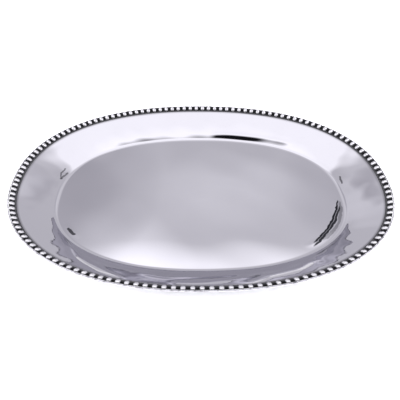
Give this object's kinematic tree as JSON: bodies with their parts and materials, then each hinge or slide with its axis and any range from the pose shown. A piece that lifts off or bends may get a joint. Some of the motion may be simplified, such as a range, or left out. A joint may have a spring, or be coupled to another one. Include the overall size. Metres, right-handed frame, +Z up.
{
  "type": "serving tray",
  "caption": "Oval polished metal serving tray with a flat well, a wide sloping flange and a beaded border in a blackened groove.",
  "frame": {"origin": "middle of the flat underside, where the tray rests on a table", "axes": "+X along the tray's length, +Y across its width, +Z up out of the well"},
  "size_m": [0.44, 0.3366, 0.0308],
  "materials": {
    "polished_pan": "hand polished to a soft mirror with faint ripples and fine hairline scratches",
    "polished_edge": "hand polished, slightly worn",
    "blackened_channel": "blackened patina, matt",
    "polished_beads": "bright polished domes with dark patina left at their feet"
  },
  "bodies": {
    "root": {"tray_pan": "polished_pan", "edge_wire": "polished_edge", "border_channel_1": "blackened_channel", "border_channel_2": "blackened_channel", "border_channel_3": "blackened_channel", "border_channel_4": "blackened_channel", "bead_strip_1": "polished_beads", "bead_strip_2": "polished_beads", "bead_strip_3": "polished_beads", "bead_strip_4": "polished_beads", "bead_strip_5": "polished_beads", "bead_strip_6": "polished_beads", "bead_strip_7": "polished_beads", "bead_strip_8": "polished_beads"}
  },
  "joints": []
}
